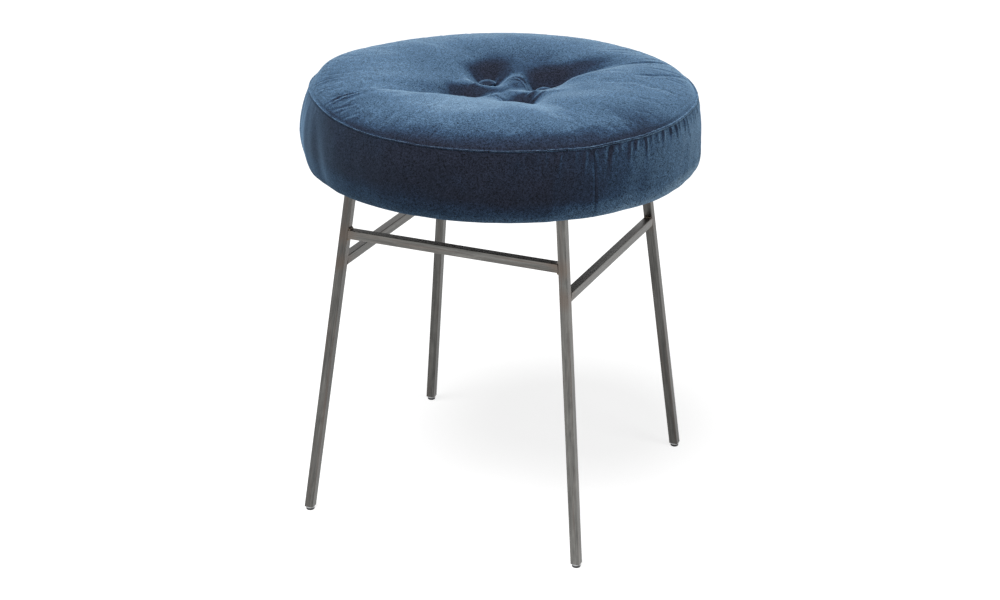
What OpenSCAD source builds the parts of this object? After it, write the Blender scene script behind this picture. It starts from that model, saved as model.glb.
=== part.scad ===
// Round pouf: a tufted velvet cushion on four leaning square steel legs.
// Millimetres, +Z up. The origin is on the floor under the middle of the seat,
// +X runs to the right along the front stretcher and +Y runs to the back.

/* [Steel bars] */
// Width of the solid square bar of the legs and stretchers
bar_w = 10; // [8:0.5:13]
// Rounding of the bar's long edges
bar_edge = 1; // [0.5:0.25:2]
// How far each leg leans in, along X and along Y, between the floor and its top
leg_lean = 41; // [30:1:50]
// Distance from a leg's top down to the middle of the front and back stretchers
front_stretcher_down = 60.4; // [50:0.2:80]
// Distance from a leg's top down to the middle of the side stretchers
side_stretcher_down = 92.4; // [75:0.2:140]
// Radius of a weld bead
weld_r = 1.8; // [1:0.1:2.4]

/* [Glides] */
// Diameter of the steel disc under each leg
glide_d = 10; // [8:0.5:12]
// Thickness of the steel disc
glide_t = 1.4; // [1:0.1:2.4]
// Diameter of the plastic pad
pad_d = 9.4; // [7:0.2:11]
// Thickness of the plastic pad
pad_t = 3.2; // [2.4:0.1:4]
// Diameter of the stud that holds a glide in its leg
stud_d = 4; // [3:0.5:5]
// Length of the stud
stud_l = 10; // [6:1:16]

/* [Mounting plates] */
// Width of the plate on each leg's top
plate_w = 26; // [20:1:34]
// Thickness of the plate
plate_t = 4; // [3:0.5:6]
// Corner radius of the plate
plate_corner = 5; // [2:0.5:8]
// How far the plate reaches past the leg's outer corner
plate_rim = 1.9; // [1:0.1:4]
// How far the plate reaches past the middle of its inner bolt
plate_end = 11; // [8:0.5:14]
// Gap between the plate and the step in the dust cover
plate_gap = 1.7; // [1:0.1:4]
// Gap between the leg's inner corner and the nearer washer
leg_washer_gap = 6.7; // [4:0.1:12]

/* [Bolts and inserts] */
// Diameter of the plate bolts
bolt_d = 6; // [4:0.5:7]
// How far a bolt's end stays below the seat board's top face
bolt_short = 2.2; // [1:0.1:4]
// Diameter of a bolt's head
bolt_head_d = 10.5; // [9:0.25:12]
// Height of a bolt's head
bolt_head_h = 3.3; // [2.6:0.1:4.5]
// Width across the flats of the bolt's hexagon socket
socket_w = 4; // [3:0.5:5]
// Depth of the hexagon socket
socket_h = 2; // [1:0.1:2.2]
// Diameter of a washer
washer_d = 12.5; // [11:0.25:13]
// Thickness of a washer
washer_t = 1.6; // [1:0.1:2]
// Wall of a threaded insert's barrel
insert_wall = 0.95; // [0.7:0.05:1.5]
// How far an insert's barrel stays above the seat board's underside
insert_short = 2; // [1:0.1:4]
// Diameter of an insert's flange
insert_flange_d = 18; // [14:0.5:22]
// Thickness of an insert's flange
insert_flange_t = 1.5; // [1:0.1:2]
// Gap between the flanges of two neighbouring inserts
insert_space = 2; // [1:0.5:6]

/* [Seat board] */
// Height of the seat board's underside above the floor
board_z = 390; // [320:1:460]
// How far the plywood board's edge lies inside the cushion's largest outline
board_inset = 11.5; // [10:0.5:14]
// Thickness of the seat board
board_t = 12; // [10:0.5:16]
// Rounding of the board's edges
board_edge = 3; // [1:0.5:5]
// Thickness of the dust cover
dust_t = 0.6; // [0.4:0.1:1]
// Number of staples round the hem
staple_count = 24; // [12:1:36]
// Width of a staple's crown
staple_w = 10; // [8:0.5:12]
// Length of a staple's legs
staple_l = 8; // [6:0.5:9.5]
// Thickness of the staple wire
staple_wire = 0.7; // [0.5:0.1:1]

/* [Cushion] */
// Largest diameter of the cushion
seat_d = 435; // [360:1:510]
// How far the seam round the top lies inside the largest outline
seam_inset = 7; // [5:0.5:9]
// Height of the seam above the seat board's underside
seam_up = 75; // [62:1:90]
// Height of the largest diameter above the seat board's underside
belly_up = 31; // [27:1:35]
// Rise of the top panel's crown above the seam
crown_rise = 26.5; // [22:0.5:32]
// Thickness of the velvet
velvet_t = 1.5; // [1:0.1:2]
// Thickness of the wadding over the foam
wadding_t = 8; // [5:0.5:9.5]
// Diameter of the raised seam round the top
welt_d = 3; // [2:0.25:4]
// Width of the hem that lies flat under the board
hem_w = 22; // [19:0.5:25]
// Gap between soft layers
soft_gap = 0.3; // [0.2:0.05:0.5]

/* [Tufting] */
// Distance between neighbouring buttons
tuft_spacing = 68; // [60:1:76]
// How far the group of buttons sits off centre to the right
tuft_shift_x = 3; // [0:0.5:8]
// How far the group of buttons sits off centre to the front
tuft_shift_y = 0.5; // [0:0.5:8]
// Depth of the wide hollow in the middle of the seat
hollow_depth = 27.5; // [20:0.5:29]
// Radius of the wide hollow
hollow_r = 84; // [78:1:92]
// Extra depth right at a button
tuft_depth = 13.5; // [9:0.5:14]
// Radius of the dimple at a button
tuft_r = 21; // [19:0.5:24]
// Depth of the fold that runs outwards from each button
fold_depth = 8.5; // [5:0.5:10]
// Half width of a fold at its button
fold_w = 14; // [12:0.5:20]
// Length of a fold outwards from its button
fold_l = 115; // [100:5:130]
// How far a fold starts behind its button
fold_back = 30; // [20:1:34]
// Diameter of a velvet-covered button
button_d = 19; // [16:0.5:20]
// Height of a button's domed face
button_dome_h = 4; // [3:0.5:6]
// How far a button's rim stands above the cloth beside it
button_lift = 2.9; // [2.5:0.1:4]
// Diameter of the twine that pulls a button down
cord_d = 1.6; // [1:0.1:2]
// Diameter of the disc that holds the twine under the board
anchor_d = 14; // [11:0.5:15]
// Thickness of that disc
anchor_t = 2; // [1.5:0.1:2.5]

/* [Hidden] */

$fn = 48;
// Overrun of a cut past the face that it opens
over = 1;
// Signs of the four corners, along X and along Y
corners = [[-1, -1], [1, -1], [1, 1], [-1, 1]];

steel = "#5c5a55";
zinc = "#a9abac";
black = "#1b1b1c";
velvet = "#24405f";
velvet_dark = "#1b3450";
plywood = "#c9a678";
foam = "#e3dfc8";
fleece = "#eeeeea";
twine = "#2a3a4c";

// Radial clearances of the fits
stud_gap = 0.05;
bolt_hole_gap = 0.2;
thread_gap = 0.05;
insert_gap = 0.1;
anchor_gap = 0.5;
staple_gap = 0.1;
cord_gap = 0.4;

leg_foot_z = pad_t + glide_t;
leg_top_z = board_z - dust_t - plate_t;
front_stretcher_z = leg_top_z - front_stretcher_down;
side_stretcher_z = leg_top_z - side_stretcher_down;
weld_l = bar_w - 2 * bar_edge;
// Lean of a leg for each millimetre of height
lean = leg_lean / leg_top_z;
lean_norm = sqrt(1 + 2 * lean * lean);

belly_r = seat_d / 2;
belly_z = board_z + belly_up;
board_r = belly_r - board_inset;
board_top_z = board_z + board_t;
// Where the band's curve turns flat under the board, and the hem's inner edge
band_flat_r = board_r - board_edge + soft_gap;
hem_r = band_flat_r - hem_w;
hem_z = board_z - velvet_t;
dust_step_r = hem_r - soft_gap;

// The plates lie inside the dust cover's step, and the legs' tops follow them
plate_out_r = dust_step_r - dust_t - plate_gap;
bar_corner = bar_w / sqrt(2);
leg_top_r = plate_out_r - plate_rim - bar_corner;
foot_half = leg_top_r / sqrt(2) + leg_lean;
first_bolt_r = leg_top_r - bar_corner - leg_washer_gap - washer_d / 2;
bolt_radii = [first_bolt_r, first_bolt_r - insert_flange_d - insert_space];
plate_l = plate_out_r - bolt_radii[1] + plate_end;
bolt_seat_z = leg_top_z - washer_t;
bolt_l = board_top_z - bolt_short - bolt_seat_z;
insert_r = bolt_d / 2 + thread_gap + insert_wall;
insert_l = board_t - insert_flange_t - insert_short;

// Depth of the pocket for a cord's disc and knot, and the knot's size
knot_d = 2.4 * cord_d;
pocket_h = anchor_t + knot_d;
anchor_z = board_z + pocket_h - anchor_t;

seam_r = belly_r - seam_inset;
seam_z = board_z + seam_up;
welt_r = welt_d / 2;
panel_r = seam_r - welt_r - soft_gap;
panel_z = seam_z + velvet_t / 2;
band_top_z = seam_z - welt_r - soft_gap;

// Shape of the crown's outline, as powers of a share
crown_power = 4.2;
crown_ease = 0.65;
hollow_power = 2.3;
tuft_power = 3;
// The folds fade out towards the seam with this power of the radius
fade_power = 8;
band_power = 2.2;
// A little squarer than an ellipse, where the band turns under the board
turn_power = 2.4;
band_steps = 10;

tuft_ring_r = tuft_spacing / sqrt(2);
tuft_middle = [tuft_shift_x, -tuft_shift_y];
spokes = 48;
inner_ring_shares = [0, 0.32, 0.56, 0.79, 1, 1.22, 1.5];
outer_ring_shares = [0.14, 0.29, 0.46, 0.63, 0.79, 0.92, 1];
inner_end_r = tuft_ring_r * inner_ring_shares[6];
ring_radii = concat(
    [for (share = inner_ring_shares) tuft_ring_r * share],
    [for (share = outer_ring_shares) inner_end_r + (panel_r - inner_end_r) * share]
);
last_ring = len(ring_radii) - 1;
core_ring = last_ring - 1;
core_r = ring_radii[core_ring];
foam_drop = velvet_t + wadding_t + 2 * soft_gap;

// Gap between a button's foot and the cloth under it
foot_gap = 1.1;

// The wire loop behind a button and the twine's eye that hangs in it
loop_r = 1.8;
loop_wire_r = 0.5;
loop_stem = 3;
eye_r = 2;
loop_gap = 0.1;
loop_hole_r = eye_r + cord_d / 2 + cord_gap;

staple_r = (hem_r + band_flat_r) / 2;
staple_band = 1.2;
dust_lip_r = staple_r + staple_band + dust_t + soft_gap;
dust_z = hem_z - dust_t;
button_seat_r = loop_r + loop_wire_r;
pad_edge = 1.5;

// Distance of a leg's middle line from the seat's middle planes at a height
function half_at(z) = foot_half - lean * z;

function unit(v) = v / norm(v);

// Inward normals along a path of points, for a shell's other side
function tangent(path, i) =
    unit(path[min(i + 1, len(path) - 1)] - path[max(i - 1, 0)]);
function inset(path, depth) = [
    for (i = [0:len(path) - 1])
        path[i] + depth * [tangent(path, i)[1], -tangent(path, i)[0]]
];
function reversed(path) = [for (i = [len(path) - 1:-1:0]) path[i]];

// Height of the crown without its tufts, at a distance from the middle
function crown_z(r) =
    let (share = min(r / panel_r, 1))
    panel_z + crown_rise * pow(1 - pow(share, crown_power), crown_ease);

// Strength of a fold along its length, as a share of its depth
function fold_share(along) =
    along < -fold_back || along > fold_l
        ? 0
        : sin(180 * (along + fold_back) / (fold_l + fold_back));

// How far one button and its fold pull the cloth down at a point
function pull(p, corner) =
    let (
        out = unit(corner),
        arm = p - tuft_middle - corner * tuft_spacing / 2,
        along = arm * out,
        across = arm[0] * out[1] - arm[1] * out[0],
        width = fold_w * (1 + max(along, 0) / fold_l)
    )
    tuft_depth * exp(-pow(norm(arm) / tuft_r, tuft_power))
    + fold_depth * fold_share(along) * exp(-pow(across / width, 2));

// Height of the velvet's outer face at a point of the top panel
function top_z(p) =
    let (fade = 1 - pow(min(norm(p) / panel_r, 1), fade_power))
    crown_z(norm(p))
    - hollow_depth * exp(-pow(norm(p - tuft_middle) / hollow_r, hollow_power)) * fade
    - (pull(p, corners[0]) + pull(p, corners[1]) + pull(p, corners[2]) + pull(p, corners[3]))
        * fade;

// A point of the top panel on one ring and spoke. The inner rings drift to the buttons.
function top_xy(ring, spoke) =
    let (r = ring_radii[ring], a = 360 * spoke / spokes)
    r * [cos(a), sin(a)] + tuft_middle * (1 - r / panel_r);

function top_ring(ring, drop) = [
    for (spoke = [0:spokes - 1])
        let (p = top_xy(ring, spoke)) [p[0], p[1], top_z(p) - drop]
];

// Points of the top face as far as one ring, lowered by a distance
function top_points(rings, drop) = concat(
    [[tuft_middle[0], tuft_middle[1], top_z(tuft_middle) - drop]],
    [for (ring = [1:rings]) each top_ring(ring, drop)]
);

// Number of a point in such a list
function top_index(first, ring, spoke) = first + 1 + (ring - 1) * spokes + spoke % spokes;

// Triangles of such a face, seen from above or, turned over, from below
function turned(face, over_side) = over_side ? [face[2], face[1], face[0]] : face;
function top_faces(rings, first, over_side) = concat(
    [for (s = [0:spokes - 1])
        turned([first, top_index(first, 1, s + 1), top_index(first, 1, s)], over_side)],
    [for (ring = [1:rings - 1], s = [0:spokes - 1], half = [0, 1])
        let (
            a = top_index(first, ring, s),
            b = top_index(first, ring, s + 1),
            c = top_index(first, ring + 1, s + 1),
            d = top_index(first, ring + 1, s)
        )
        turned(half == 0 ? [a, b, c] : [a, c, d], over_side)]
);

// Triangles that close two rings of points that stand one above the other
function wall_faces(upper, lower) = [
    for (s = [0:spokes - 1], half = [0, 1])
        let (t = (s + 1) % spokes)
        half == 0 ? [upper + s, upper + t, lower + t] : [upper + s, lower + t, lower + s]
];

// A quilted layer between two lowered copies of the top face
module top_layer(rings, drop, thickness) {
    upper = top_points(rings, drop);
    lower = top_points(rings, drop + thickness);
    count = len(upper);
    polyhedron(
        points = concat(upper, lower),
        faces = concat(
            top_faces(rings, 0, false),
            top_faces(rings, count, true),
            wall_faces(count - spokes, 2 * count - spokes)
        )
    );
}

module at_tufts() {
    for (corner = corners) {
        at_tuft(corner) children();
    }
}

function tuft_spot(corner) = tuft_middle + corner * tuft_spacing / 2;
module at_tuft(corner) {
    translate([tuft_spot(corner)[0], tuft_spot(corner)[1], 0]) children();
}

// Heights of a button's foot, of the loop behind it and of the twine's eye in that loop
function button_z(corner) = top_z(tuft_spot(corner)) + foot_gap;
// Height of a button's tapered back, which clears the cloth that rises round it
function button_back_h(corner) =
    let (r = button_d / 2)
    max([for (a = [0:45:315]) top_z(tuft_spot(corner) + r * [cos(a), sin(a)])])
    - top_z(tuft_spot(corner)) + button_lift;
function loop_z(corner) = button_z(corner) - loop_stem;
function eye_z(corner) =
    loop_z(corner) - loop_r + loop_wire_r + cord_d / 2 + loop_gap - eye_r;

module rounded_rect(length, width, radius) {
    square([length - 2 * radius, width], center = true);
    square([length, width - 2 * radius], center = true);
    for (x = [-1, 1], y = [-1, 1]) {
        translate([x * (length / 2 - radius), y * (width / 2 - radius)]) circle(radius);
    }
}

module bar(length) {
    linear_extrude(length, center = true) rounded_rect(bar_w, bar_w, bar_edge);
}

// Places things in the leaning frame of one leg, with its foot at the zero point
module at_leg(corner) {
    translate([corner[0] * foot_half, corner[1] * foot_half, 0])
        rotate([asin(corner[1] * lean / lean_norm), atan2(-corner[0] * lean, 1), 0])
            children();
}

module leg(corner) {
    color(steel) difference() {
        intersection() {
            at_leg(corner) bar(3 * leg_top_z);
            translate([-2 * foot_half, -2 * foot_half, leg_foot_z])
                cube([4 * foot_half, 4 * foot_half, leg_top_z - leg_foot_z]);
        }
        at_foot(corner) translate([0, 0, leg_foot_z - over])
            cylinder(d = stud_d + 2 * stud_gap, h = stud_l + over + stud_gap);
    }
}

// The place on the floor under the middle of a leg's cut end
module at_foot(corner) {
    reach = half_at(leg_foot_z);
    translate([corner[0] * reach, corner[1] * reach, 0]) children();
}

// The space on the inner side of a leg, bounded by its face across X or across Y
module inner_space(corner, across_x) {
    size = 4 * foot_half;
    shift = bar_w / 2 + size / 2;
    at_leg(corner)
        translate(across_x ? [-corner[0] * shift, 0, 0] : [0, -corner[1] * shift, 0])
            cube([size, size, 4 * leg_top_z], center = true);
}

module stretcher_along_x(side) {
    color(steel) intersection() {
        translate([0, side * half_at(front_stretcher_z), front_stretcher_z])
            rotate([0, 90, 0]) bar(2 * foot_half);
        inner_space([-1, side], true);
        inner_space([1, side], true);
    }
}

module stretcher_along_y(side) {
    color(steel) intersection() {
        translate([side * half_at(side_stretcher_z), 0, side_stretcher_z])
            rotate([90, 0, 0]) bar(2 * foot_half);
        inner_space([side, -1], false);
        inner_space([side, 1], false);
    }
}

// A bead in the corner between a leg's inner face and a level face at a height
module weld_bead(corner, across_x, z, above) {
    edge = half_at(z) - bar_w / 2;
    middle = half_at(z);
    spot = across_x ? [edge, middle] : [middle, edge];
    size = 4 * weld_r;
    intersection() {
        translate([corner[0] * spot[0], corner[1] * spot[1], z])
            rotate(across_x ? [90, 0, 0] : [0, 90, 0])
                cylinder(r = weld_r, h = weld_l, center = true);
        inner_space(corner, across_x);
        translate([corner[0] * spot[0], corner[1] * spot[1], z + (above ? 1 : -1) * size / 2])
            cube([size + weld_l, size + weld_l, size], center = true);
    }
}

module stretcher_welds() {
    color(steel) for (corner = corners, up = [-1, 1]) {
        weld_bead(corner, true, front_stretcher_z + up * bar_w / 2, up > 0);
        weld_bead(corner, false, side_stretcher_z + up * bar_w / 2, up > 0);
    }
}

module plate_welds() {
    color(steel) for (corner = corners) {
        weld_bead(corner, true, leg_top_z, false);
        weld_bead(corner, false, leg_top_z, false);
    }
}

// Turns the X axis along the diagonal towards one corner
module at_diagonal(corner) {
    rotate([0, 0, atan2(corner[1], corner[0])]) children();
}

module at_bolts() {
    for (corner = corners, r = bolt_radii) {
        at_diagonal(corner) translate([r, 0, 0]) children();
    }
}

module plate(corner) {
    color(steel) at_diagonal(corner) difference() {
        translate([plate_out_r - plate_l / 2, 0, leg_top_z])
            linear_extrude(plate_t) rounded_rect(plate_l, plate_w, plate_corner);
        for (r = bolt_radii) {
            translate([r, 0, leg_top_z - over])
                cylinder(d = bolt_d + 2 * bolt_hole_gap, h = plate_t + 2 * over);
        }
    }
}

module glide(corner) {
    color(zinc) at_foot(corner) {
        translate([0, 0, pad_t]) cylinder(d = glide_d, h = glide_t);
        translate([0, 0, pad_t + glide_t]) cylinder(d = stud_d, h = stud_l);
    }
}

module pad(corner) {
    color(black) at_foot(corner) rotate_extrude() {
        square([pad_d / 2 - pad_edge, pad_t]);
        translate([0, pad_edge]) square([pad_d / 2, pad_t - pad_edge]);
        translate([pad_d / 2 - pad_edge, pad_edge]) intersection() {
            circle(pad_edge);
            translate([0, -pad_edge]) square(pad_edge);
        }
    }
}

module plate_bolts() {
    color(zinc) at_bolts() difference() {
        union() {
            translate([0, 0, bolt_seat_z - bolt_head_h]) bolt_head();
            translate([0, 0, bolt_seat_z]) cylinder(d = bolt_d, h = bolt_l);
        }
        translate([0, 0, bolt_seat_z - bolt_head_h - over])
            cylinder(d = socket_w * 2 / sqrt(3), h = socket_h + over, $fn = 6);
    }
}

// Domed head with its top face down
module bolt_head() {
    rim_h = bolt_head_h / 4;
    face_r = bolt_head_d * 3 / 10;
    translate([0, 0, bolt_head_h - rim_h]) cylinder(d = bolt_head_d, h = rim_h);
    cylinder(r1 = face_r, d2 = bolt_head_d, h = bolt_head_h - rim_h);
}

module bolt_washers() {
    color(zinc) at_bolts() translate([0, 0, bolt_seat_z]) difference() {
        cylinder(d = washer_d, h = washer_t);
        translate([0, 0, -over])
            cylinder(d = bolt_d + 2 * bolt_hole_gap, h = washer_t + 2 * over);
    }
}

module threaded_inserts() {
    color(zinc) at_bolts() difference() {
        union() {
            translate([0, 0, board_top_z - insert_flange_t])
                cylinder(d = insert_flange_d, h = insert_flange_t);
            translate([0, 0, board_top_z - insert_flange_t - insert_l])
                cylinder(r = insert_r, h = insert_l + insert_flange_t / 2);
        }
        translate([0, 0, board_z])
            cylinder(d = bolt_d + 2 * thread_gap, h = board_t + over);
    }
}

module at_staples() {
    for (i = [0:staple_count - 1]) {
        rotate([0, 0, 360 * (i + 1 / 2) / staple_count]) translate([staple_r, 0, 0]) children();
    }
}

module staple_legs(gap) {
    for (side = [-1, 1]) {
        translate([
            -staple_band / 2 - gap,
            side * (staple_w - staple_wire) / 2 - staple_wire / 2 - gap,
            dust_z - gap
        ])
            cube([staple_band + 2 * gap, staple_wire + 2 * gap, staple_l + 2 * gap]);
    }
}

module staple_slots() {
    at_staples() staple_legs(staple_gap);
}

module staples() {
    color(zinc) at_staples() {
        staple_legs(0);
        translate([-staple_band / 2, -staple_w / 2, dust_z - staple_wire])
            cube([staple_band, staple_w, staple_wire]);
    }
}

module seat_board() {
    color(plywood) difference() {
        rotate_extrude($fn = 96) translate([0, board_z]) {
            square([board_r - board_edge, board_t]);
            translate([0, board_edge]) square([board_r, board_t - 2 * board_edge]);
            for (y = [board_edge, board_t - board_edge]) {
                translate([board_r - board_edge, y]) circle(board_edge, $fn = 32);
            }
        }
        at_bolts() {
            translate([0, 0, board_z - over])
                cylinder(r = insert_r + insert_gap, h = board_t + 2 * over);
            translate([0, 0, board_top_z - insert_flange_t])
                cylinder(d = insert_flange_d + 2 * insert_gap, h = insert_flange_t + over);
        }
        at_tufts() {
            translate([0, 0, board_z - over])
                cylinder(d = cord_d + 2 * cord_gap, h = board_t + 2 * over);
            translate([0, 0, board_z - over])
                cylinder(d = anchor_d + 2 * anchor_gap, h = pocket_h + over);
        }
        staple_slots();
    }
}

module dust_cover() {
    step_in_r = dust_step_r - dust_t;
    color(black) difference() {
        rotate_extrude($fn = 96) {
            translate([0, board_z - dust_t]) square([dust_step_r, dust_t]);
            translate([step_in_r, dust_z]) square([dust_t, board_z - dust_z]);
            translate([step_in_r, dust_z]) square([dust_lip_r - step_in_r, dust_t]);
        }
        at_bolts() translate([0, 0, board_z - dust_t - over])
            cylinder(d = bolt_d + 2 * bolt_hole_gap, h = dust_t + 2 * over);
        staple_slots();
    }
}

module foam_core() {
    bottom = board_top_z + soft_gap;
    upper = top_points(core_ring, foam_drop);
    count = len(upper);
    floor_ring = [for (p = top_ring(core_ring, 0)) [p[0], p[1], bottom]];
    color(foam) difference() {
        polyhedron(
            points = concat(upper, floor_ring),
            faces = concat(
                top_faces(core_ring, 0, false),
                wall_faces(count - spokes, count),
                [[for (s = [0:spokes - 1]) count + s]]
            )
        );
        at_tufts() translate([0, 0, bottom - over]) cylinder(r = loop_hole_r, h = seam_up);
    }
}

module wadding_top() {
    color(fleece) difference() {
        top_layer(core_ring, velvet_t + soft_gap, wadding_t);
        at_tufts() translate([0, 0, board_top_z]) cylinder(r = loop_hole_r, h = seam_up);
    }
}

// Outer outline of the band from the seam to the hem, as radius and height
function band_path() = concat(
    [for (i = [0:band_steps])
        let (share = 1 - i / band_steps, z = belly_z + (band_top_z - belly_z) * share)
        [belly_r - (belly_r - seam_r - velvet_t / 2) * pow(share, band_power), z]],
    [for (i = [1:band_steps])
        let (a = 90 * i / band_steps, power = 2 / turn_power)
        [
            band_flat_r + (belly_r - band_flat_r) * pow(cos(a), power),
            belly_z - (belly_z - hem_z) * pow(sin(a), power)
        ]],
    [[hem_r, hem_z]]
);

module cover_band() {
    path = band_path();
    color(velvet_dark) difference() {
        rotate_extrude($fn = 96) polygon(concat(path, reversed(inset(path, velvet_t))));
        staple_slots();
    }
}

module wadding_side() {
    bottom = board_top_z + soft_gap;
    top = seam_z - wadding_t / 2 - soft_gap;
    inner_r = core_r + norm(tuft_middle) * (1 - core_r / panel_r) + soft_gap;
    path = inset(band_path(), velvet_t + soft_gap);
    color(fleece) rotate_extrude($fn = 96) intersection() {
        polygon(concat([[0, path[0][1]]], path, [[0, path[len(path) - 1][1]]]));
        translate([inner_r, bottom]) square([belly_r, top - bottom]);
    }
}

module cover_top() {
    color(velvet) difference() {
        top_layer(last_ring, 0, velvet_t);
        at_tufts() translate([0, 0, board_top_z]) cylinder(r = loop_hole_r, h = seam_up);
    }
}

module seam_welt() {
    color(velvet) rotate_extrude($fn = 96) translate([seam_r, seam_z]) circle(welt_r, $fn = 24);
}

module button(corner) {
    back_h = button_back_h(corner);
    rim_z = back_h + button_dome_h / 5;
    dome_h = back_h + button_dome_h - rim_z;
    color(velvet) at_tuft(corner) translate([0, 0, button_z(corner)]) rotate_extrude() {
        polygon(concat(
            [[0, 0], [button_seat_r, 0], [button_d / 2, back_h]],
            [for (a = [0:15:75]) [button_d / 2 * cos(a), rim_z + dome_h * sin(a)]],
            [[0, rim_z + dome_h]]
        ));
    }
}

module button_loops() {
    color(zinc) for (corner = corners) {
        at_tuft(corner) translate([0, 0, loop_z(corner)]) {
            rotate([90, 0, 0]) rotate([0, 0, 180])
                rotate_extrude(angle = 180) translate([loop_r, 0]) circle(loop_wire_r, $fn = 24);
            for (side = [-1, 1]) {
                translate([side * loop_r, 0, 0])
                    cylinder(r = loop_wire_r, h = loop_stem, $fn = 24);
            }
        }
    }
}

module tufting_cords() {
    knot_z = anchor_z - knot_d / 2;
    color(twine) for (corner = corners) {
        at_tuft(corner) {
            translate([0, 0, eye_z(corner)]) rotate([0, 90, 0])
                rotate_extrude() translate([eye_r, 0]) circle(cord_d / 2, $fn = 24);
            translate([0, 0, knot_z])
                cylinder(d = cord_d, h = eye_z(corner) - eye_r - knot_z);
            translate([0, 0, knot_z]) sphere(d = knot_d);
        }
    }
}

module cord_anchors() {
    color(black) at_tufts() translate([0, 0, anchor_z]) difference() {
        cylinder(d = anchor_d, h = anchor_t);
        translate([0, 0, -over]) cylinder(d = cord_d + cord_gap, h = anchor_t + 2 * over);
    }
}

leg(corners[0]);  // leg_front_left
leg(corners[1]);  // leg_front_right
leg(corners[2]);  // leg_back_right
leg(corners[3]);  // leg_back_left
stretcher_along_x(-1);  // stretcher_front
stretcher_along_x(1);  // stretcher_back
stretcher_along_y(-1);  // stretcher_left
stretcher_along_y(1);  // stretcher_right
stretcher_welds();
plate_welds();
plate(corners[0]);  // plate_front_left
plate(corners[1]);  // plate_front_right
plate(corners[2]);  // plate_back_right
plate(corners[3]);  // plate_back_left
glide(corners[0]);  // glide_front_left
glide(corners[1]);  // glide_front_right
glide(corners[2]);  // glide_back_right
glide(corners[3]);  // glide_back_left
pad(corners[0]);  // pad_front_left
pad(corners[1]);  // pad_front_right
pad(corners[2]);  // pad_back_right
pad(corners[3]);  // pad_back_left
plate_bolts();
bolt_washers();
threaded_inserts();
seat_board();
foam_core();
wadding_top();
wadding_side();
cover_top();
cover_band();
seam_welt();
button(corners[0]);  // button_front_left
button(corners[1]);  // button_front_right
button(corners[2]);  // button_back_right
button(corners[3]);  // button_back_left
button_loops();
tufting_cords();
cord_anchors();
dust_cover();
staples();
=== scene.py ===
"""Looks of a round pouf: a tufted velvet cushion on a frame of raw square steel bar.

Everything is in metres, in the frame of the CAD model. MM turns millimetres into metres.
"""

import math

import bpy
import numpy as np
from mathutils import Matrix, Vector


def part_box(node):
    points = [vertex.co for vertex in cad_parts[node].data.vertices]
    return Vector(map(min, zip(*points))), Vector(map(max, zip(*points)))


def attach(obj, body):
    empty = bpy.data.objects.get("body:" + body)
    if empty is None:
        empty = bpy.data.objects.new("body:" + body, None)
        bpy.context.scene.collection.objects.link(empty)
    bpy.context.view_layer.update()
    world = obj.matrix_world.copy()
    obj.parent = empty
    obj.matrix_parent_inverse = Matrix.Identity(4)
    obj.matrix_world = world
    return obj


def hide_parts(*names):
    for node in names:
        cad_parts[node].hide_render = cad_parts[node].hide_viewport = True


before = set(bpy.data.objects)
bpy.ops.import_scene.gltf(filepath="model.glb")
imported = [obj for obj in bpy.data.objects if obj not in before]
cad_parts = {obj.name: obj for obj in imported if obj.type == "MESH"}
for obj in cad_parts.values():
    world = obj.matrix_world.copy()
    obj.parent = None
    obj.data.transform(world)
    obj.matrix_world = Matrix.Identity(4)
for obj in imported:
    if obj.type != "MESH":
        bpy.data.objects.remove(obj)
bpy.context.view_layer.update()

MM = 0.001
CORNERS = {
    "front_left": (-1, -1),
    "front_right": (1, -1),
    "back_right": (1, 1),
    "back_left": (-1, 1),
}


def box_of(node):
    """Lowest and highest corner of a CAD node, as arrays."""
    low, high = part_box(node)
    return np.array(low), np.array(high)


# Measures of the cushion, from the frame and, where no box tells them, as in the CAD

board_low, board_high = box_of("seat_board")
band_low, band_high = box_of("cover_band")
welt_low, welt_high = box_of("seam_welt")
top_high = box_of("cover_top")[1]

BOARD_R = board_high[0]
BOARD_Z = board_low[2]
BOARD_TOP_Z = board_high[2]
BELLY_R = band_high[0]
HEM_Z = band_low[2]
BAND_TOP_Z = band_high[2]
SEAM_Z = (welt_low[2] + welt_high[2]) / 2
WELT_R = (welt_high[2] - welt_low[2]) / 2
SEAM_R = welt_high[0] - WELT_R
PANEL_R = top_high[0]
VELVET_T = BOARD_Z - HEM_Z
PANEL_Z = SEAM_Z + VELVET_T / 2
BELLY_UP = 31 * MM
BELLY_Z = BOARD_Z + BELLY_UP
SLACK = 0.3 * MM
BOARD_EDGE = 3 * MM
FLAT_R = BOARD_R - BOARD_EDGE + SLACK
HEM_W = 22 * MM
HEM_R = FLAT_R - HEM_W

button_boxes = {name: box_of("button_" + name) for name in CORNERS}
tuft_spots = {name: (low + high) / 2 for name, (low, high) in button_boxes.items()}
TUFT_MIDDLE = sum(tuft_spots.values()) / 4
TUFT_HALF = (tuft_spots["back_right"][0] - tuft_spots["back_left"][0]) / 2
BUTTON_R = (button_boxes["back_left"][1][0] - button_boxes["back_left"][0][0]) / 2

# Places round the cushion, as angles from +X
JOIN_ANGLE = math.radians(-40.8)
DEEP_FOLD_ANGLE = math.radians(-35.8)
CROWDED_ANGLE = math.radians(-30)
GATHERED_ANGLE = math.radians(-14)
FULL_SEAM_ANGLE = math.radians(-10)
SAG_ANGLE = math.radians(23)
SMOOTH_ANGLE = math.radians(-110)
DRAWN_ANGLE = math.radians(-145)
DRAWN_SPREAD = math.radians(30)

# The camera, solved from the photograph's perspective

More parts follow.
